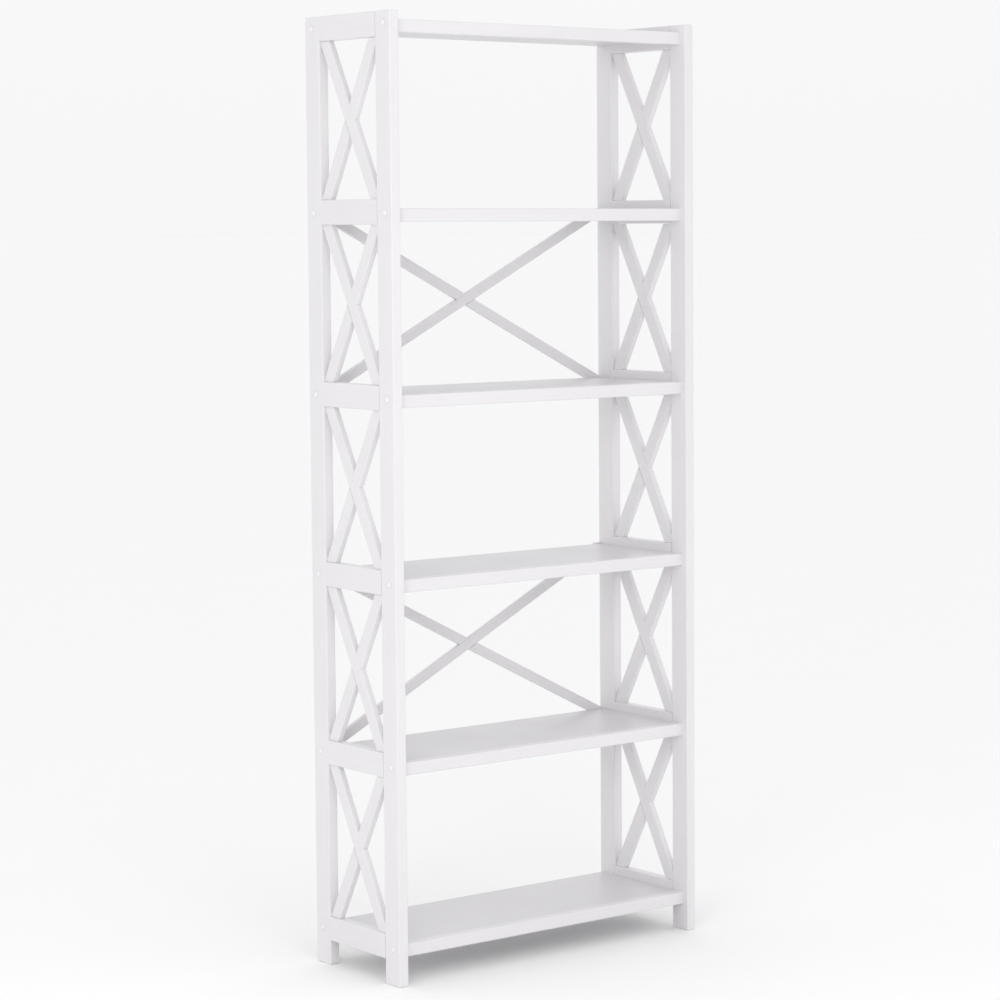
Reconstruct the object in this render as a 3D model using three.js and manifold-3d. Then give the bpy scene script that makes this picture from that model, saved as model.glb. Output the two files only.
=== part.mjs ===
// An open bookcase in white painted wood: two ladder-like end frames with crossed slats,
// six shelves screwed between them, and two crossed braces at the back.
// Millimetres, +Z up, front towards -Y. The origin is on the floor, under the middle.

import * as THREE from 'three';
import { mergeVertices } from 'three/addons/utils/BufferGeometryUtils.js';
import Module from 'manifold-3d';

const wasm = await Module();
wasm.setup();

// ---- driving dimensions -------------------------------------------------------------
const WIDTH = 712;               // over the outer faces of the two end frames
const DEPTH = 275;               // over the fronts and backs of the posts
const SHELF_COUNT = 6;           // one shelf, and one rail in each end frame, to a level
const LEVEL_PITCH = 337.5;       // from one rail to the next
const LEG_HEIGHT = 46.5;         // from the floor to the bottom rail

const POST_WIDTH = 46;           // along Y
const FRAME_THICKNESS = 20;      // along X, posts and rails alike
const RAIL_HEIGHT = 46;
const ARRIS_RADIUS = 2;          // rounding of the long edges of posts and rails
const END_EASING = 1.2;          // rounding round the ends of the posts

const TENON_THICKNESS = 8;       // along X
const TENON_HEIGHT = 30;
const TENON_LENGTH = 12;

const SLAT_WIDTH = 27;           // crossed slats of the end frames
const SLAT_THICKNESS = 12;
const SLAT_ARRIS = 1.8;
const SLAT_CORNER_STEP = 7;      // a slat's outer edge meets the post this far from the rail

const BOARD_THICKNESS = 15;      // shelf board
const NOSING_HEIGHT = 24;        // strip along the front of the board
const NOSING_DEPTH = 20;
const NOSING_ARRIS = 2;
const BOARD_ARRIS = 1.2;         // rounding of the board's back edges
const TONGUE_THICKNESS = 5;      // the board's tongue in the nosing's groove
const TONGUE_LENGTH = 6;
const SHELF_FRONT_SETBACK = 14;  // from the front of the posts to the nosing
const TOP_SHELF_DROP = 14.5;     // from the top rail's top edge to the top shelf
const SHELF_DROP = 17;           // the same at the other five levels

const SCREW_BORE = 5;            // clearance hole for a shelf screw, through the post
const SCREW_PILOT = 3.4;         // pilot hole in the end of a shelf
const PILOT_DEPTH = 32;
const HEAD_RECESS = 8.4;         // counterbore for the screw's head, under its cap
const HEAD_RECESS_DEPTH = 4;
const SCREW_FROM_FRONT = 20;     // from the front of the front post
const SCREW_FROM_BACK = 22;      // from the back of the back post

const BRACE_WIDTH = 19;          // crossed slats at the back
const BRACE_THICKNESS = 10;
const BRACE_ARRIS = 1;
const BRACE_CORNER_STEP = 1;     // a brace's upper edge meets the post this far above a shelf
const BRACE_PROUD = 2;           // the brace's ends stand this far above a shelf's top
const BRACED_BAYS = [2, 4];      // counted from the top

const BRACE_SCREW_BORE = 3.8;    // clearance hole for a brace's screw
const BRACE_SCREW_PILOT = 2.4;   // pilot hole in the back edge of a shelf board
const BRACE_PILOT_WALL = 2;      // left between that hole and the pilot hole of a shelf screw
const BRACE_HEAD_RECESS = 7;     // counterbore for the head of a brace's screw
const BRACE_HEAD_RECESS_DEPTH = 3.5;
const BRACE_SCREW_FROM_POST = 11.5; // from the inner face of the back post

const TENON_CLEARANCE = 0.3;     // round a tenon in its mortise, and a tongue in its groove
const SLAT_CLEARANCE = 0.3;      // between a slat and what it meets
const MORTISE_END_CLEARANCE = 1; // beyond the end of a tenon or a tongue

const ROUND_STEPS = 3;           // straight pieces in a rounded long edge
const SLAT_ROUND_STEPS = 2;      // the same on slats and braces, whose rounding is smaller
const BORE_SIDES = 12;
const REACH = 5;                 // how far a cutting body passes its workpiece

const PAINT = { color: 0xeeeef1, roughness: 0.38, metalness: 0 };

// ---- levels, from the top shelf (1) to the bottom shelf -------------------------------
const HEIGHT = LEG_HEIGHT + RAIL_HEIGHT + (SHELF_COUNT - 1) * LEVEL_PITCH;
const CLEAR_WIDTH = WIDTH - 2 * FRAME_THICKNESS;
const INNER_X = CLEAR_WIDTH / 2;
const FRONT_Y = -DEPTH / 2;
const BACK_Y = DEPTH / 2;
const OPENING_DEPTH = DEPTH - 2 * POST_WIDTH;

const railTop = (level) => HEIGHT - (level - 1) * LEVEL_PITCH;
const railMiddle = (level) => railTop(level) - RAIL_HEIGHT / 2;
const shelfTop = (level) => railTop(level) - (level === 1 ? TOP_SHELF_DROP : SHELF_DROP);
const screwHeight = (level) => shelfTop(level) - BOARD_THICKNESS / 2;
const screwPlaces = [FRONT_Y + SCREW_FROM_FRONT, BACK_Y - SCREW_FROM_BACK];
const levels = Array.from({ length: SHELF_COUNT }, (_, index) => index + 1);
const bays = levels.slice(0, -1);

// ---- solids ---------------------------------------------------------------------------
function solidFrom(geometry) {
  const bare = geometry.clone();
  bare.deleteAttribute('normal');
  bare.deleteAttribute('uv');
  const merged = mergeVertices(bare, 1e-4);
  return new wasm.Manifold(new wasm.Mesh({
    numProp: 3,
    vertProperties: new Float32Array(merged.attributes.position.array),
    triVerts: new Uint32Array(merged.index.array),
  }));
}

function geometryFrom(solid) {
  const mesh = solid.getMesh();
  const geometry = new THREE.BufferGeometry();
  geometry.setAttribute('position', new THREE.BufferAttribute(new Float32Array(mesh.vertProperties), 3));
  geometry.setIndex(new THREE.BufferAttribute(new Uint32Array(mesh.triVerts), 1));
  geometry.computeVertexNormals();
  return geometry;
}

// A box between two corners.
function block(x0, x1, y0, y1, z0, z1) {
  const geometry = new THREE.BoxGeometry(x1 - x0, y1 - y0, z1 - z0);
  geometry.translate((x0 + x1) / 2, (y0 + y1) / 2, (z0 + z1) / 2);
  return solidFrom(geometry);
}

// Round holes along X and along Y, to be cut away.
function boreAlongX(x0, x1, y, z, diameter) {
  const geometry = new THREE.CylinderGeometry(diameter / 2, diameter / 2, Math.abs(x1 - x0), BORE_SIDES);
  geometry.rotateZ(Math.PI / 2);
  geometry.translate((x0 + x1) / 2, y, z);
  return solidFrom(geometry);
}

function boreAlongY(x, y0, y1, z, diameter) {
  const geometry = new THREE.CylinderGeometry(diameter / 2, diameter / 2, Math.abs(y1 - y0), BORE_SIDES);
  geometry.translate(x, (y0 + y1) / 2, z);
  return solidFrom(geometry);
}

// A rectangle about the origin with its four corners rounded.
function roundedRectangle(width, height, radius) {
  const w = width / 2;
  const h = height / 2;
  const shape = new THREE.Shape();
  shape.moveTo(w, -h + radius);
  shape.lineTo(w, h - radius);
  shape.absarc(w - radius, h - radius, radius, 0, Math.PI / 2);
  shape.lineTo(-w + radius, h);
  shape.absarc(-w + radius, h - radius, radius, Math.PI / 2, Math.PI);
  shape.lineTo(-w, -h + radius);
  shape.absarc(-w + radius, -h + radius, radius, Math.PI, Math.PI * 1.5);
  shape.lineTo(w - radius, -h);
  shape.absarc(w - radius, -h + radius, radius, Math.PI * 1.5, Math.PI * 2);
  return shape;
}

// A bar of rounded section along Z, from z0 to z1: width along X, depth along Y.
function bar(width, depth, z0, z1, radius, steps, easing = 0) {
  const geometry = new THREE.ExtrudeGeometry(roundedRectangle(width, depth, radius), {
    depth: z1 - z0 - 2 * easing,
    curveSegments: steps,
    bevelEnabled: easing > 0,
    bevelThickness: easing,
    bevelSize: easing,
    bevelOffset: -easing,
    bevelSegments: 2,
  });
  geometry.translate(0, 0, z0 + easing);
  return geometry;
}

// A profile drawn in Y and Z, carried along X from x0 to x1.
function alongX(shape, x0, x1) {
  const geometry = new THREE.ExtrudeGeometry(shape, {
    depth: x1 - x0,
    curveSegments: ROUND_STEPS,
    bevelEnabled: false,
  });
  geometry.rotateX(Math.PI / 2);
  geometry.rotateZ(Math.PI / 2);
  geometry.translate(x0, 0, 0);
  return solidFrom(geometry);
}

// ---- the bookcase ---------------------------------------------------------------------
const bookcase = new THREE.Group();

function add(name, solid, parent = bookcase) {
  const mesh = new THREE.Mesh(geometryFrom(solid), new THREE.MeshStandardMaterial(PAINT));
  mesh.name = name;
  parent.add(mesh);
  return mesh;
}

// ---- end frames: side is -1 on the left and +1 on the right ---------------------------
const frameInner = (side) => side * INNER_X;
const frameOuter = (side) => side * WIDTH / 2;
const frameMiddle = (side) => side * (WIDTH - FRAME_THICKNESS) / 2;

// The mortise that a rail's tenon sits in, opening at y and running in the direction given.
function mortise(side, level, y, direction) {
  const x = frameMiddle(side);
  const z = railMiddle(level);
  const halfX = TENON_THICKNESS / 2 + TENON_CLEARANCE;
  const halfZ = TENON_HEIGHT / 2 + TENON_CLEARANCE;
  const far = y + direction * (TENON_LENGTH + MORTISE_END_CLEARANCE);
  const near = y - direction * REACH;
  return block(x - halfX, x + halfX, Math.min(near, far), Math.max(near, far), z - halfZ, z + halfZ);
}

function post(side, front) {
  const x = frameMiddle(side);
  const y = front ? FRONT_Y + POST_WIDTH / 2 : BACK_Y - POST_WIDTH / 2;
  const openingY = front ? FRONT_Y + POST_WIDTH : BACK_Y - POST_WIDTH;
  const intoPost = front ? -1 : 1;
  const boreY = screwPlaces[front ? 0 : 1];

  const geometry = bar(FRAME_THICKNESS, POST_WIDTH, 0, HEIGHT, ARRIS_RADIUS, ROUND_STEPS, END_EASING);
  geometry.translate(x, y, 0);
  let solid = solidFrom(geometry);
  for (const level of levels) {
    const z = screwHeight(level);
    const inside = frameInner(side) - side * REACH;
    const outside = frameOuter(side) + side * REACH;
    const recessEnd = frameOuter(side) - side * HEAD_RECESS_DEPTH;
    solid = solid
      .subtract(mortise(side, level, openingY, intoPost))
      .subtract(boreAlongX(inside, outside, boreY, z, SCREW_BORE))
      .subtract(boreAlongX(recessEnd, outside, boreY, z, HEAD_RECESS));
  }
  return solid;
}

function rail(side, level) {
  const x = frameMiddle(side);
  const z = railMiddle(level);
  const reach = OPENING_DEPTH / 2;
  const geometry = bar(FRAME_THICKNESS, RAIL_HEIGHT, -reach, reach, ARRIS_RADIUS, ROUND_STEPS);
  geometry.rotateX(-Math.PI / 2);
  geometry.translate(x, 0, z);
  const tenons = block(
    x - TENON_THICKNESS / 2, x + TENON_THICKNESS / 2,
    -reach - TENON_LENGTH, reach + TENON_LENGTH,
    z - TENON_HEIGHT / 2, z + TENON_HEIGHT / 2,
  );
  return solidFrom(geometry).add(tenons);
}

// The lean of a strip, from the upright, that crosses the middle of an opening and whose
// outer edge meets the opening's upright side the given step from the corner.
function leanOfStrip(openingWidth, openingHeight, stripWidth, cornerStep) {
  const across = openingWidth / 2;
  const up = openingHeight / 2 - cornerStep;
  return Math.acos(stripWidth / 2 / Math.hypot(across, up)) - Math.atan2(up, across);
}

// Two crossed slats in one opening of an end frame, halved into each other where they cross.
function crossedSlats(side, bay) {
  const top = railTop(bay) - RAIL_HEIGHT;
  const bottom = railTop(bay + 1);
  const openingHeight = top - bottom;
  const reach = Math.hypot(OPENING_DEPTH, openingHeight) / 2 + REACH;
  const lean = leanOfStrip(OPENING_DEPTH, openingHeight, SLAT_WIDTH, SLAT_CORNER_STEP);
  const half = SLAT_THICKNESS / 2;
  const opening = block(
    -FRAME_THICKNESS, FRAME_THICKNESS,
    -OPENING_DEPTH / 2 + SLAT_CLEARANCE, OPENING_DEPTH / 2 - SLAT_CLEARANCE,
    -openingHeight / 2 + SLAT_CLEARANCE, openingHeight / 2 - SLAT_CLEARANCE,
  );

  // direction +1 rises towards the back, -1 towards the front
  const slat = (direction) => {
    const geometry = bar(SLAT_THICKNESS, SLAT_WIDTH, -reach, reach, SLAT_ARRIS, SLAT_ROUND_STEPS);
    geometry.rotateX(-direction * lean);
    return solidFrom(geometry).intersect(opening);
  };
  // what the other slat takes away, on the side of the middle plane that x points to
  const halving = (direction, x) => {
    const near = -SLAT_CLEARANCE / 2;
    const geometry = new THREE.BoxGeometry(half + REACH - near, SLAT_WIDTH + 2 * SLAT_CLEARANCE, 2 * reach);
    geometry.translate(x * (half + REACH + near) / 2, 0, 0);
    geometry.rotateX(-direction * lean);
    return solidFrom(geometry);
  };

  const group = new THREE.Group();
  group.position.set(frameMiddle(side), 0, (top + bottom) / 2);
  const name = side < 0 ? 'left' : 'right';
  add(`${name}_bay_${bay}_outer_slat`, slat(-side).subtract(halving(side, -side)), group);
  add(`${name}_bay_${bay}_inner_slat`, slat(side).subtract(halving(-side, side)), group);
  bookcase.add(group);
}

for (const side of [-1, 1]) {
  const name = side < 0 ? 'left' : 'right';
  add(`${name}_front_post`, post(side, true));
  add(`${name}_back_post`, post(side, false));
  for (const level of levels) add(`${name}_rail_${level}`, rail(side, level));
  for (const bay of bays) crossedSlats(side, bay);
}

// ---- shelves --------------------------------------------------------------------------
const noseFront = FRONT_Y + SHELF_FRONT_SETBACK;
const noseBack = noseFront + NOSING_DEPTH;
const boardBack = BACK_Y - BRACE_THICKNESS - SLAT_CLEARANCE;
const braceScrewX = INNER_X - BRACE_SCREW_FROM_POST;
const bracePilotEnd = BACK_Y - SCREW_FROM_BACK + SCREW_PILOT / 2 + BRACE_PILOT_WALL;

// Pilot holes for the screws in both ends of a shelf.
function cutPilots(solid, level) {
  let cut = solid;
  for (const side of [-1, 1]) {
    const deep = frameInner(side) - side * PILOT_DEPTH;
    const outside = frameInner(side) + side * REACH;
    for (const y of screwPlaces) {
      cut = cut.subtract(boreAlongX(deep, outside, y, screwHeight(level), SCREW_PILOT));
    }
  }
  return cut;
}

// Pilot holes for the screws of a brace, in the back edge of a board that it crosses.
function cutBracePilots(solid, level) {
  if (!BRACED_BAYS.includes(level) && !BRACED_BAYS.includes(level - 1)) return solid;
  let cut = solid;
  for (const x of [-braceScrewX, braceScrewX]) {
    cut = cut.subtract(boreAlongY(
      x, bracePilotEnd, boardBack + REACH, screwHeight(level), BRACE_SCREW_PILOT,
    ));
  }
  return cut;
}

// The board, with a tongue along its front edge and softened back edges.
function board(level) {
  const top = shelfTop(level);
  const bottom = top - BOARD_THICKNESS;
  const middle = (top + bottom) / 2;
  const r = BOARD_ARRIS;
  const shape = new THREE.Shape();
  shape.moveTo(noseBack, bottom);
  shape.lineTo(boardBack - r, bottom);
  shape.absarc(boardBack - r, bottom + r, r, -Math.PI / 2, 0);
  shape.lineTo(boardBack, top - r);
  shape.absarc(boardBack - r, top - r, r, 0, Math.PI / 2);
  shape.lineTo(noseBack, top);
  shape.lineTo(noseBack, middle + TONGUE_THICKNESS / 2);
  shape.lineTo(noseBack - TONGUE_LENGTH, middle + TONGUE_THICKNESS / 2);
  shape.lineTo(noseBack - TONGUE_LENGTH, middle - TONGUE_THICKNESS / 2);
  shape.lineTo(noseBack, middle - TONGUE_THICKNESS / 2);
  return cutBracePilots(cutPilots(alongX(shape, -INNER_X, INNER_X), level), level);
}

// The strip along the front, grooved for the tongue, with its front edges rounded.
function nosing(level) {
  const top = shelfTop(level);
  const bottom = top - NOSING_HEIGHT;
  const grooveMiddle = top - BOARD_THICKNESS / 2;
  const grooveHalf = TONGUE_THICKNESS / 2 + TENON_CLEARANCE;
  const grooveEnd = noseBack - TONGUE_LENGTH - MORTISE_END_CLEARANCE;
  const r = NOSING_ARRIS;
  const shape = new THREE.Shape();
  shape.moveTo(noseBack, bottom);
  shape.lineTo(noseBack, grooveMiddle - grooveHalf);
  shape.lineTo(grooveEnd, grooveMiddle - grooveHalf);
  shape.lineTo(grooveEnd, grooveMiddle + grooveHalf);
  shape.lineTo(noseBack, grooveMiddle + grooveHalf);
  shape.lineTo(noseBack, top);
  shape.lineTo(noseFront + r, top);
  shape.absarc(noseFront + r, top - r, r, Math.PI / 2, Math.PI);
  shape.lineTo(noseFront, bottom + r);
  shape.absarc(noseFront + r, bottom + r, r, Math.PI, Math.PI * 1.5);
  return cutPilots(alongX(shape, -INNER_X, INNER_X), level);
}

for (const level of levels) {
  add(`shelf_${level}_board`, board(level));
  add(`shelf_${level}_nosing`, nosing(level));
}

// ---- crossed braces at the back -------------------------------------------------------
// Each pair fills the width between the back posts, lies behind the back edges of the two
// shelves of its bay, is screwed to them, and is halved where its slats cross.
function crossedBraces(bay) {
  const top = shelfTop(bay) + BRACE_PROUD;
  const lowerTop = shelfTop(bay + 1);
  const middle = (top + lowerTop - BOARD_THICKNESS + BRACE_PROUD) / 2;
  const height = 2 * (top - middle);
  const width = CLEAR_WIDTH - 2 * SLAT_CLEARANCE;
  const reach = Math.hypot(width, height) / 2 + REACH;
  const across = CLEAR_WIDTH / 2;
  const drop = middle - lowerTop - BRACE_CORNER_STEP;
  const rise = Math.atan2(drop, across) + Math.asin(BRACE_WIDTH / 2 / Math.hypot(across, drop));
  const half = BRACE_THICKNESS / 2;
  const opening = block(-width / 2, width / 2, -BRACE_THICKNESS, BRACE_THICKNESS, -height / 2, height / 2);

  // direction +1 rises towards the right, -1 towards the left
  const slat = (direction) => {
    const geometry = bar(BRACE_WIDTH, BRACE_THICKNESS, -reach, reach, BRACE_ARRIS, SLAT_ROUND_STEPS);
    geometry.rotateY(direction * (Math.PI / 2 - rise));
    let solid = solidFrom(geometry).intersect(opening);
    for (const [x, level] of [[-direction * braceScrewX, bay + 1], [direction * braceScrewX, bay]]) {
      const z = screwHeight(level) - middle;
      const back = half + REACH;
      solid = solid
        .subtract(boreAlongY(x, -back, back, z, BRACE_SCREW_BORE))
        .subtract(boreAlongY(x, half - BRACE_HEAD_RECESS_DEPTH, back, z, BRACE_HEAD_RECESS));
    }
    return solid;
  };
  // what the other slat takes away, on the side of the middle plane that y points to
  const halving = (direction, y) => {
    const near = -SLAT_CLEARANCE / 2;
    const cutWidth = BRACE_WIDTH + 2 * SLAT_CLEARANCE;
    const geometry = new THREE.BoxGeometry(cutWidth, half + REACH - near, 2 * reach);
    geometry.translate(0, y * (half + REACH + near) / 2, 0);
    geometry.rotateY(direction * (Math.PI / 2 - rise));
    return solidFrom(geometry);
  };

  const group = new THREE.Group();
  group.position.set(0, BACK_Y - half, middle);
  add(`bay_${bay}_brace_front_slat`, slat(1).subtract(halving(-1, 1)), group);
  add(`bay_${bay}_brace_rear_slat`, slat(-1).subtract(halving(1, -1)), group);
  bookcase.add(group);
}

for (const bay of BRACED_BAYS) crossedBraces(bay);

export default bookcase;
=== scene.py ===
# An open bookcase in white painted wood: two ladder-like end frames with crossed slats, six
# shelves with a deeper strip along their fronts, and crossed braces behind two of the bays.
# The loaded frame holds every wooden piece. Here they get their finish. The screws that hold
# them together are made and put in their holes, with a cap over each shelf screw.
import math

import bmesh
import bpy
from mathutils import Matrix, Vector


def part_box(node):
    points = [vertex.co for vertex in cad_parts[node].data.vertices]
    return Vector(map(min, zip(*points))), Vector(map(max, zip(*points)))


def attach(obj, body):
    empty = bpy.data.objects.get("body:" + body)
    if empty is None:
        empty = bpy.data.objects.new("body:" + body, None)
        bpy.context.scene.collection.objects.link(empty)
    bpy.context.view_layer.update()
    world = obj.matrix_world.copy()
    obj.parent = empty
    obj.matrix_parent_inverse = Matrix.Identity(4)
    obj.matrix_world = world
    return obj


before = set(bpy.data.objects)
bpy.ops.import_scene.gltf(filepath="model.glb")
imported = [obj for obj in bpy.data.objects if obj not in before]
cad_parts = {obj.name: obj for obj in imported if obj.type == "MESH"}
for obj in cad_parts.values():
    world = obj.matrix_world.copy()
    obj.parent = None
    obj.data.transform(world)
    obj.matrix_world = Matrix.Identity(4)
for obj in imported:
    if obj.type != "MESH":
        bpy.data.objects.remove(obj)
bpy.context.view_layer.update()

MM = 0.001

# ---- sizes ---------------------------------------------------------------------------------
SHELF_COUNT = 6
BRACED_BAYS = (2, 4)             # counted from the top

SCREW_FROM_FRONT = 20 * MM       # from the front of a front post to its screws
SCREW_FROM_BACK = 22 * MM        # from the back of a back post to its screws
HEAD_RECESS_DEPTH = 4 * MM       # how deep a screw's head sits in the post
BRACE_SCREW_FROM_END = 11.5 * MM  # from a shelf's end to the brace screw near it
BRACE_RECESS_DEPTH = 3.5 * MM    # how deep a screw's head sits in a brace

CAP_DIAMETER = 11.5 * MM
CAP_HEIGHT = 3.6 * MM
CAP_RIM = 0.7 * MM               # upright edge of the cap, below its dome
CAP_STEM_DIAMETER = 2.8 * MM
CAP_STEM_LENGTH = 3.2 * MM

SMOOTH_BELOW = math.radians(50)  # faces that meet at less than this shade as one surface

FLOOR_RADIUS = 400               # in metres, like the places of the camera and the lamps

# A Mix node's colour sockets, by number, because others on the node have the same names.
MIX_A, MIX_B, MIX_RESULT = 6, 7, 2


# ---- materials -----------------------------------------------------------------------------
def linear(colour):
    """An sRGB colour, written #rrggbb, as linear red, green, blue and alpha."""
    parts = [int(colour[i:i + 2], 16) / 255 for i in (1, 3, 5)]
    return (*(p / 12.92 if p <= 0.04045 else ((p + 0.055) / 1.055) ** 2.4 for p in parts), 1.0)


def add(tree, kind, inputs=None, **settings):
    """Adds a node. An input is given a value, or the socket that feeds it."""
    made = tree.nodes.new(kind)
    for name, value in settings.items():
        setattr(made, name, value)
    for name, value in (inputs or {}).items():
        if isinstance(value, bpy.types.NodeSocket):
            tree.links.new(value, made.inputs[name])
        else:
            made.inputs[name].default_value = value
    return made


def material(name):
    """An empty material: its node tree and the socket that its surface goes into."""
    made = bpy.data.materials.new(name)
    made.use_nodes = True
    tree = made.node_tree
    tree.nodes.clear()
    return made, tree, add(tree, "ShaderNodeOutputMaterial").inputs["Surface"]


def spread(tree, value, low, high):
    """A pattern's 0.3 to 0.7, where nearly all of it lies, opened out to run from low to high."""
    return add(tree, "ShaderNodeMapRange", {
        "Value": value, "From Min": 0.3, "From Max": 0.7, "To Min": low, "To Max": high,
    }).outputs["Result"]


def lacquered_wood(name, along):
    """Solid wood, sanded, sealed and sprayed with white satin lacquer. The coat is even and
    softly glossy, and under it the grain still shows as long shallow ripples along the piece.
    along is the direction of the piece's length. The ripples are drawn about three times as
    wide as real grain, which would be too fine to show."""
    grain_width, grain_length = 3.2 * MM, 190 * MM
    peel_width = 5 * MM          # the slight orange peel that spraying leaves
    cloud_width = 140 * MM       # where the coat lies a little thicker
    made, tree, surface = material(name)
    place = add(tree, "ShaderNodeTexCoord").outputs["Object"]
    turn = Vector(along).rotation_difference(Vector((1, 0, 0))).to_euler()
    lengthwise = add(tree, "ShaderNodeMapping", {"Vector": place, "Rotation": turn})
    stretched = add(tree, "ShaderNodeMapping", {
        "Vector": lengthwise.outputs["Vector"],
        "Scale": (1 / grain_length, 1 / grain_width, 1 / grain_width),
    })
    grain = add(tree, "ShaderNodeTexNoise", {
        "Vector": stretched.outputs["Vector"], "Scale": 1.0, "Detail": 3.0, "Roughness": 0.55,
    }).outputs["Fac"]
    peel = add(tree, "ShaderNodeTexNoise", {
        "Vector": place, "Scale": 1 / peel_width, "Detail": 1.0,
    }).outputs["Fac"]
    cloud = add(tree, "ShaderNodeTexNoise", {
        "Vector": place, "Scale": 1 / cloud_width, "Detail": 2.0,
    }).outputs["Fac"]

    tone = add(tree, "ShaderNodeMix", {
        "Factor": spread(tree, grain, 0.0, 1.0), MIX_A: linear("#e3e1e3"), MIX_B: linear("#e0dee0"),
    }, data_type="RGBA").outputs[MIX_RESULT]
    colour = add(tree, "ShaderNodeMix", {
        "Factor": spread(tree, cloud, 0.0, 0.6), MIX_A: tone, MIX_B: linear("#dedcdf"),
    }, data_type="RGBA").outputs[MIX_RESULT]
    ripples = add(tree, "ShaderNodeBump", {
        "Height": grain, "Strength": 0.2, "Distance": 0.05 * MM,
    }).outputs["Normal"]
    skin = add(tree, "ShaderNodeBump", {
        "Height": peel, "Strength": 0.4, "Distance": 0.05 * MM, "Normal": ripples,
    }).outputs["Normal"]
    shader = add(tree, "ShaderNodeBsdfPrincipled", {
        "Base Color": colour, "Roughness": spread(tree, cloud, 0.35, 0.41), "IOR": 1.5, "Normal": skin,
    })
    tree.links.new(shader.outputs["BSDF"], surface)
    return made


def lacquered_board_painted_shade(name):
    """Fibreboard with the same white lacquer. It has no grain, so only the orange peel of the
    spraying shows, and it is a little glossier than the wood. Its colour is painted darker than
    the wood's: painted shade, standing in for the shade that falls on the shelf tops."""
    peel_width = 6 * MM
    cloud_width = 180 * MM
    made, tree, surface = material(name)
    place = add(tree, "ShaderNodeTexCoord").outputs["Object"]
    peel = add(tree, "ShaderNodeTexNoise", {
        "Vector": place, "Scale": 1 / peel_width, "Detail": 2.0,
    }).outputs["Fac"]
    cloud = add(tree, "ShaderNodeTexNoise", {
        "Vector": place, "Scale": 1 / cloud_width, "Detail": 2.0,
    }).outputs["Fac"]
    # painted shade: the same paint as the wood, drawn darker to stand in for the shade on the shelf tops
    colour = add(tree, "ShaderNodeMix", {
        "Factor": spread(tree, cloud, 0.0, 1.0), MIX_A: linear("#d5d3d5"), MIX_B: linear("#d3d1d3"),
    }, data_type="RGBA").outputs[MIX_RESULT]
    skin = add(tree, "ShaderNodeBump", {
        "Height": peel, "Strength": 0.5, "Distance": 0.05 * MM,
    }).outputs["Normal"]
    shader = add(tree, "ShaderNodeBsdfPrincipled", {
        "Base Color": colour, "Roughness": spread(tree, cloud, 0.28, 0.34), "IOR": 1.5, "Normal": skin,
    })
    tree.links.new(shader.outputs["BSDF"], surface)
    return made


def moulded_polystyrene():
    """White polystyrene, injection moulded: fairly glossy, with the faint unevenness of the mould."""
    mould_width = 1.5 * MM
    made, tree, surface = material("moulded_polystyrene")
    place = add(tree, "ShaderNodeTexCoord").outputs["Object"]
    mould = add(tree, "ShaderNodeTexNoise", {
        "Vector": place, "Scale": 1 / mould_width, "Detail": 2.0,
    }).outputs["Fac"]
    tone = add(tree, "ShaderNodeMix", {
        "Factor": spread(tree, mould, 0.0, 1.0), MIX_A: linear("#e6e5e8"), MIX_B: linear("#e4e3e6"),
    }, data_type="RGBA").outputs[MIX_RESULT]
    skin = add(tree, "ShaderNodeBump", {
        "Height": mould, "Strength": 0.3, "Distance": 0.03 * MM,
    }).outputs["Normal"]
    shader = add(tree, "ShaderNodeBsdfPrincipled", {
        "Base Color": tone, "Roughness": spread(tree, mould, 0.27, 0.33), "IOR": 1.59, "Normal": skin,
    })
    tree.links.new(shader.outputs["BSDF"], surface)
    return made


def zinc_plated_steel():
    """Steel with a bright zinc plating: a cool grey metal, slightly clouded."""
    cloud_width = 2.5 * MM
    made, tree, surface = material("zinc_plated_steel")
    place = add(tree, "ShaderNodeTexCoord").outputs["Object"]
    cloud = add(tree, "ShaderNodeTexNoise", {
        "Vector": place, "Scale": 1 / cloud_width, "Detail": 4.0, "Roughness": 0.6,
    }).outputs["Fac"]
    tone = add(tree, "ShaderNodeMix", {
        "Factor": spread(tree, cloud, 0.0, 1.0), MIX_A: linear("#c9cdd2"), MIX_B: linear("#aeb2b8"),
    }, data_type="RGBA").outputs[MIX_RESULT]
    skin = add(tree, "ShaderNodeBump", {
        "Height": cloud, "Strength": 0.3, "Distance": 0.02 * MM,
    }).outputs["Normal"]
    shader = add(tree, "ShaderNodeBsdfPrincipled", {
        "Base Color": tone, "Metallic": 1.0, "Roughness": spread(tree, cloud, 0.25, 0.42),
        "Normal": skin,
    })
    tree.links.new(shader.outputs["BSDF"], surface)
    return made


def studio_floor():
    """A matt pale floor, painted, with a barely visible unevenness."""
    cloud_width = 300 * MM
    made, tree, surface = material("studio_floor")
    place = add(tree, "ShaderNodeTexCoord").outputs["Object"]
    cloud = add(tree, "ShaderNodeTexNoise", {
        "Vector": place, "Scale": 1 / cloud_width, "Detail": 2.0,
    }).outputs["Fac"]
    tone = add(tree, "ShaderNodeMix", {
        "Factor": cloud, MIX_A: linear("#fbfbfb"), MIX_B: linear("#fafafa"),
    }, data_type="RGBA").outputs[MIX_RESULT]
    shader = add(tree, "ShaderNodeBsdfPrincipled", {
        "Base Color": tone, "Roughness": 0.85, "Specular IOR Level": 0.1,
    })
    tree.links.new(shader.outputs["BSDF"], surface)
    return made


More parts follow.
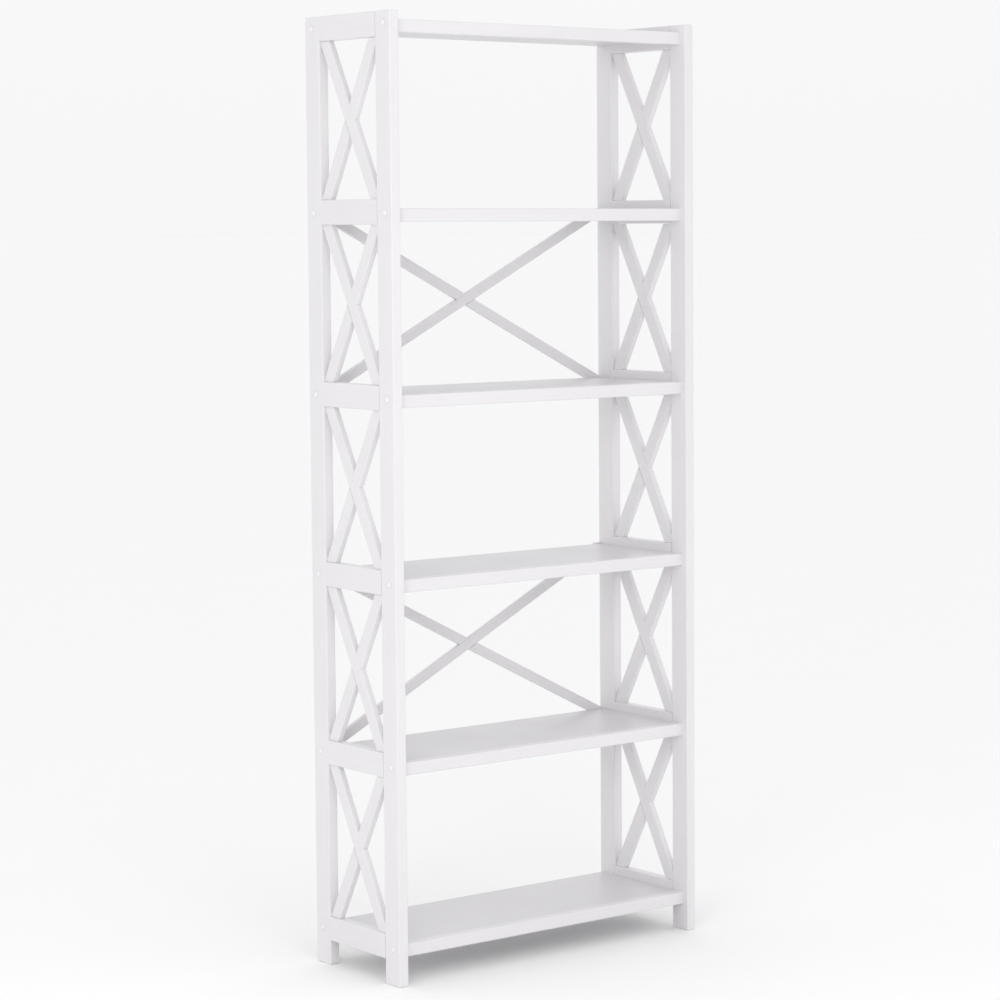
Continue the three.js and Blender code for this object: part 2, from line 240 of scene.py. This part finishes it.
# ---- the wooden pieces ---------------------------------------------------------------------
def smooth_surface():
    """A modifier's node group. It drops a piece's stored normals, shades its facets as one
    surface where they meet at a small angle, and keeps the other edges sharp."""
    tree = bpy.data.node_groups.new("smooth_surface", "GeometryNodeTree")
    tree.interface.new_socket("Geometry", in_out="INPUT", socket_type="NodeSocketGeometry")
    tree.interface.new_socket("Geometry", in_out="OUTPUT", socket_type="NodeSocketGeometry")
    start = add(tree, "NodeGroupInput").outputs["Geometry"]
    plain = add(tree, "GeometryNodeRemoveAttribute", {
        "Geometry": start, "Name": "custom_normal",
    }).outputs["Geometry"]
    angle = add(tree, "GeometryNodeInputMeshEdgeAngle").outputs["Unsigned Angle"]
    sharp = add(tree, "FunctionNodeCompare", {
        "A": angle, "B": SMOOTH_BELOW,
    }, data_type="FLOAT", operation="GREATER_THAN").outputs["Result"]
    smooth = add(tree, "GeometryNodeSetShadeSmooth", {
        "Geometry": plain, "Shade Smooth": True,
    }, domain="FACE").outputs["Geometry"]
    edged = add(tree, "GeometryNodeSetShadeSmooth", {
        "Geometry": smooth, "Selection": sharp, "Shade Smooth": False,
    }, domain="EDGE").outputs["Geometry"]
    add(tree, "NodeGroupOutput", {"Geometry": edged})
    return tree


smooth_group = smooth_surface()


def finish_surface(piece):
    """Joins a piece's facets, and shades its rounded edges smoothly and its faces flat."""
    weld = piece.modifiers.new("join_facets", "WELD")
    weld.merge_threshold = 0.005 * MM
    shade = piece.modifiers.new("smooth_surface", "NODES")
    shade.node_group = smooth_group
    flatten = piece.modifiers.new("flat_faces_stay_flat", "WEIGHTED_NORMAL")
    flatten.keep_sharp = True


def coat(node, finish):
    """Gives a wooden piece its finish."""
    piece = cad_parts[node]
    piece.data.materials.clear()
    piece.data.materials.append(finish)
    finish_surface(piece)


def lean(node, across, up):
    """How far a strip leans: its length across and up, from the corners of its box."""
    low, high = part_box(node)
    return Vector(across) * (high - low).dot(Vector(across)) + Vector(up) * (high - low).dot(Vector(up))


def coat_all():
    """Gives every piece its finish. The grain of a wooden piece runs along its length, so each
    direction has a material of its own."""
    upright = lacquered_wood("lacquered_wood_upright", (0, 0, 1))
    level = lacquered_wood("lacquered_wood_level", (0, 1, 0))
    nosing = lacquered_wood("lacquered_wood_nosing", (1, 0, 0))
    board = lacquered_board_painted_shade("lacquered_board_painted_shade")
    slat_lean = lean("left_bay_1_outer_slat", (0, 1, 0), (0, 0, 1))
    brace_lean = lean("bay_2_brace_front_slat", (1, 0, 0), (0, 0, 1))
    rising = lacquered_wood("lacquered_wood_rising", slat_lean)
    falling = lacquered_wood("lacquered_wood_falling", slat_lean * Vector((1, 1, -1)))
    brace_rising = lacquered_wood("lacquered_wood_brace_rising", brace_lean)
    brace_falling = lacquered_wood("lacquered_wood_brace_falling", brace_lean * Vector((1, 1, -1)))

    for side in ("left", "right"):
        for place in ("front", "back"):
            coat(f"{side}_{place}_post", upright)
        for number in range(1, SHELF_COUNT + 1):
            coat(f"{side}_rail_{number}", level)
        outer, inner = (rising, falling) if side == "left" else (falling, rising)
        for bay in range(1, SHELF_COUNT):
            coat(f"{side}_bay_{bay}_outer_slat", outer)
            coat(f"{side}_bay_{bay}_inner_slat", inner)
    for number in range(1, SHELF_COUNT + 1):
        coat(f"shelf_{number}_board", board)
        coat(f"shelf_{number}_nosing", nosing)
    for bay in BRACED_BAYS:
        coat(f"bay_{bay}_brace_front_slat", brace_rising)
        coat(f"bay_{bay}_brace_rear_slat", brace_falling)


# ---- screws and caps -----------------------------------------------------------------------
def turned(name, profile, sides=40):
    """The mesh of a turned piece. The profile runs from axis to axis, as pairs of a radius and
    a height, from the outer end inwards, with the outer end towards +Z."""
    shape = bmesh.new()
    rings = []
    for radius, height in profile:
        if radius == 0:
            rings.append([shape.verts.new((0, 0, height))])
            continue
        turns = (math.tau * i / sides for i in range(sides))
        rings.append([shape.verts.new((radius * math.cos(t), radius * math.sin(t), height)) for t in turns])
    for upper, lower in zip(rings, rings[1:]):
        for i in range(sides):
            j = (i + 1) % sides
            if len(upper) == 1:
                shape.faces.new((upper[0], lower[i], lower[j]))
            elif len(lower) == 1:
                shape.faces.new((upper[j], upper[i], lower[0]))
            else:
                shape.faces.new((upper[j], upper[i], lower[i], lower[j]))
    mesh = bpy.data.meshes.new(name)
    shape.to_mesh(mesh)
    shape.free()
    return mesh


def cap_profile():
    """A dome over a short upright rim, with a stem that plugs into the screw's socket."""
    radius = CAP_DIAMETER / 2
    dome = CAP_HEIGHT - CAP_RIM
    sphere = (radius ** 2 + dome ** 2) / (2 * dome)
    widest = math.asin(radius / sphere)
    steps = 10
    points = [(0, CAP_HEIGHT)]
    for i in range(1, steps + 1):
        angle = widest * i / steps
        points.append((sphere * math.sin(angle), CAP_HEIGHT - sphere * (1 - math.cos(angle))))
    stem = CAP_STEM_DIAMETER / 2
    chamfer = 0.4 * MM
    edge = 0.25 * MM             # where the rim turns under
    root = 0.3 * MM              # where the stem widens into the cap
    lift = 0.02 * MM             # between the cap and the post
    points += [
        (radius, CAP_RIM * 0.4), (radius - edge, lift), (stem + root, lift),
        (stem, -root), (stem, chamfer - CAP_STEM_LENGTH), (stem - chamfer, -CAP_STEM_LENGTH),
        (0, -CAP_STEM_LENGTH),
    ]
    return points


def screw_profile(length, head_diameter, head_height, core, thread, socket):
    """A pan-headed wood screw with a round socket. Its height is 0 under the head. The thread
    is drawn as rings, a pitch apart, between the plain part of the shank and the point."""
    pitch = 1.8 * MM
    plain = 0.2 * length         # the shank above the thread
    point = 3 * MM
    bevel = 0.2 * MM             # round the mouth of the socket
    edge = 0.15 * MM             # round the underside of the head
    fillet = 0.3 * MM            # between the head and the shank
    head = head_diameter / 2
    socket_depth = 0.7 * head_height
    points = [
        (0, head_height - socket_depth), (socket / 2, head_height - socket_depth),
        (socket / 2, head_height - bevel), (socket / 2 + bevel, head_height),
        (head * 0.7, head_height), (head * 0.9, head_height * 0.8), (head, head_height * 0.45),
        (head, edge), (head - edge, 0), (core / 2 + fillet, 0), (core / 2, -fillet),
    ]
    turns = int((length - plain - point) / pitch)
    for i in range(turns):
        start = -plain - i * pitch
        points += [
            (core / 2, start), (thread / 2, start - 0.35 * pitch),
            (thread / 2, start - 0.45 * pitch), (core / 2, start - 0.8 * pitch),
        ]
    points += [(core / 2, point - length), (0, -length)]
    return points


def put(mesh, name, place, outward, finish):
    """Stands a turned piece at a place, with its outer end facing outward."""
    piece = bpy.data.objects.new(name, mesh)
    bpy.context.scene.collection.objects.link(piece)
    turn = Vector((0, 0, 1)).rotation_difference(outward).to_matrix().to_4x4()
    piece.matrix_world = Matrix.Translation(place) @ turn
    if not mesh.materials:
        mesh.materials.append(finish)
    finish_surface(piece)
    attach(piece, "root")


def shelf_screws(steel, plastic):
    """At each shelf, a screw through each post into the end of the shelf, under a cap."""
    cap = turned("screw_cap", cap_profile())
    screw = turned("shelf_screw", screw_profile(
        length=46 * MM, head_diameter=7.6 * MM, head_height=2.4 * MM, core=3.1 * MM,
        thread=4.2 * MM, socket=3.2 * MM,
    ), sides=24)
    for side, sign in (("left", -1), ("right", 1)):
        outward = Vector((sign, 0, 0))
        for place in ("front", "back"):
            low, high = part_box(f"{side}_{place}_post")
            x = low.x if sign < 0 else high.x
            y = low.y + SCREW_FROM_FRONT if place == "front" else high.y - SCREW_FROM_BACK
            for number in range(1, SHELF_COUNT + 1):
                board_low, board_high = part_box(f"shelf_{number}_board")
                face = Vector((x, y, (board_low.z + board_high.z) / 2))
                seat = face - outward * HEAD_RECESS_DEPTH
                put(cap, f"cap_{side}_{place}_{number}", face, outward, plastic)
                put(screw, f"screw_{side}_{place}_{number}", seat, outward, steel)


def brace_screws(steel):
    """A short screw through each end of a brace into the back edge of the shelf it crosses."""
    screw = turned("brace_screw", screw_profile(
        length=14 * MM, head_diameter=6.4 * MM, head_height=2.1 * MM, core=2.2 * MM,
        thread=3.2 * MM, socket=2.6 * MM,
    ), sides=24)
    outward = Vector((0, 1, 0))
    for bay in BRACED_BAYS:
        for number in (bay, bay + 1):
            low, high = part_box(f"shelf_{number}_board")
            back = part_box(f"bay_{bay}_brace_front_slat")[1].y
            for side, end, inward in (("left", low.x, 1), ("right", high.x, -1)):
                x = end + inward * BRACE_SCREW_FROM_END
                seat = Vector((x, back - BRACE_RECESS_DEPTH, (low.z + high.z) / 2))
                put(screw, f"brace_screw_{side}_{number}", seat, outward, steel)


# ---- studio --------------------------------------------------------------------------------
def aim(obj, target):
    """Points a lamp at a target, with its width level."""
    obj.rotation_euler = (Vector(target) - obj.location).to_track_quat("-Z", "Y").to_euler()


def camera():
    """At chest height, well to the left of the front, looking a little down along a long lens
    whose frame is shifted to the left and slightly down."""
    place = (-3.4256, -4.5802, 1.3944)
    azimuth, tilt, roll = math.radians(39.364), math.radians(4.698), math.radians(0.253)
    eye = bpy.data.cameras.new("camera")
    eye.sensor_width = 36
    eye.lens = 107.48
    eye.shift_x, eye.shift_y = -0.14, -0.03
    eye.clip_end = 2.5 * FLOOR_RADIUS
    obj = bpy.data.objects.new("camera", eye)
    bpy.context.scene.collection.objects.link(obj)
    turn = (
        Matrix.Rotation(-azimuth, 4, "Z") @ Matrix.Rotation(math.pi / 2 - tilt, 4, "X")
        @ Matrix.Rotation(-roll, 4, "Z")
    )
    obj.matrix_world = Matrix.Translation(place) @ turn
    bpy.context.scene.camera = obj


def softbox(name, place, target, width, height, power):
    """A large soft white lamp."""
    lamp = bpy.data.lights.new(name, "AREA")
    lamp.shape = "RECTANGLE"
    lamp.size = width
    lamp.size_y = height
    lamp.energy = power
    obj = bpy.data.objects.new(name, lamp)
    bpy.context.scene.collection.objects.link(obj)
    obj.location = place
    obj.visible_camera = False
    aim(obj, target)


def surroundings():
    """White studio walls: brightest a little above the horizon, a shade duller overhead, and
    as pale as the floor at the horizon, so that the floor has no visible end."""
    horizon, brightest, overhead = (0.93, 0.93, 0.935, 1), (1.0, 1.0, 1.005, 1), (0.95, 0.95, 0.955, 1)
    brightest_height = 0.3       # as the sine of the angle above the horizon
    world = bpy.data.worlds.new("studio")
    bpy.context.scene.world = world
    world.use_nodes = True
    tree = world.node_tree
    tree.nodes.clear()
    direction = add(tree, "ShaderNodeTexCoord").outputs["Generated"]
    height = add(tree, "ShaderNodeSeparateXYZ", {"Vector": direction}).outputs["Z"]
    ramp = add(tree, "ShaderNodeValToRGB", {"Fac": height})
    ramp.color_ramp.interpolation = "EASE"
    stops = ramp.color_ramp.elements
    stops[0].position, stops[0].color = 0.0, horizon
    stops[1].position, stops[1].color = 1.0, overhead
    stops.new(brightest_height).color = brightest
    glow = add(tree, "ShaderNodeBackground", {"Color": ramp.outputs["Color"], "Strength": 1.0})
    tree.links.new(glow.outputs["Background"], add(tree, "ShaderNodeOutputWorld").inputs["Surface"])


def floor():
    """A round floor, wide enough for its edge to vanish."""
    shape = bmesh.new()
    bmesh.ops.create_circle(shape, cap_ends=True, segments=128, radius=FLOOR_RADIUS)
    mesh = bpy.data.meshes.new("floor")
    shape.to_mesh(mesh)
    shape.free()
    obj = bpy.data.objects.new("floor", mesh)
    obj.location.z = -0.3 * MM   # just below the posts' feet
    bpy.context.scene.collection.objects.link(obj)
    mesh.materials.append(studio_floor())


def studio():
    """A pale floor in white surroundings, with one lamp before the front and one further left."""
    middle = (0, 0, 0.85)        # about half way up the bookcase
    floor()
    surroundings()
    softbox("key", place=(-0.9, -2.4, 1.5), target=middle, width=0.8, height=1.3, power=6.5)
    softbox("side", place=(-2.4, -2.0, 1.5), target=middle, width=1.0, height=1.3, power=13)
    bpy.context.scene.view_settings.view_transform = "Standard"


# ---- the bookcase in the studio ------------------------------------------------------------
camera()
studio()
coat_all()
steel = zinc_plated_steel()
shelf_screws(steel, moulded_polystyrene())
brace_screws(steel)
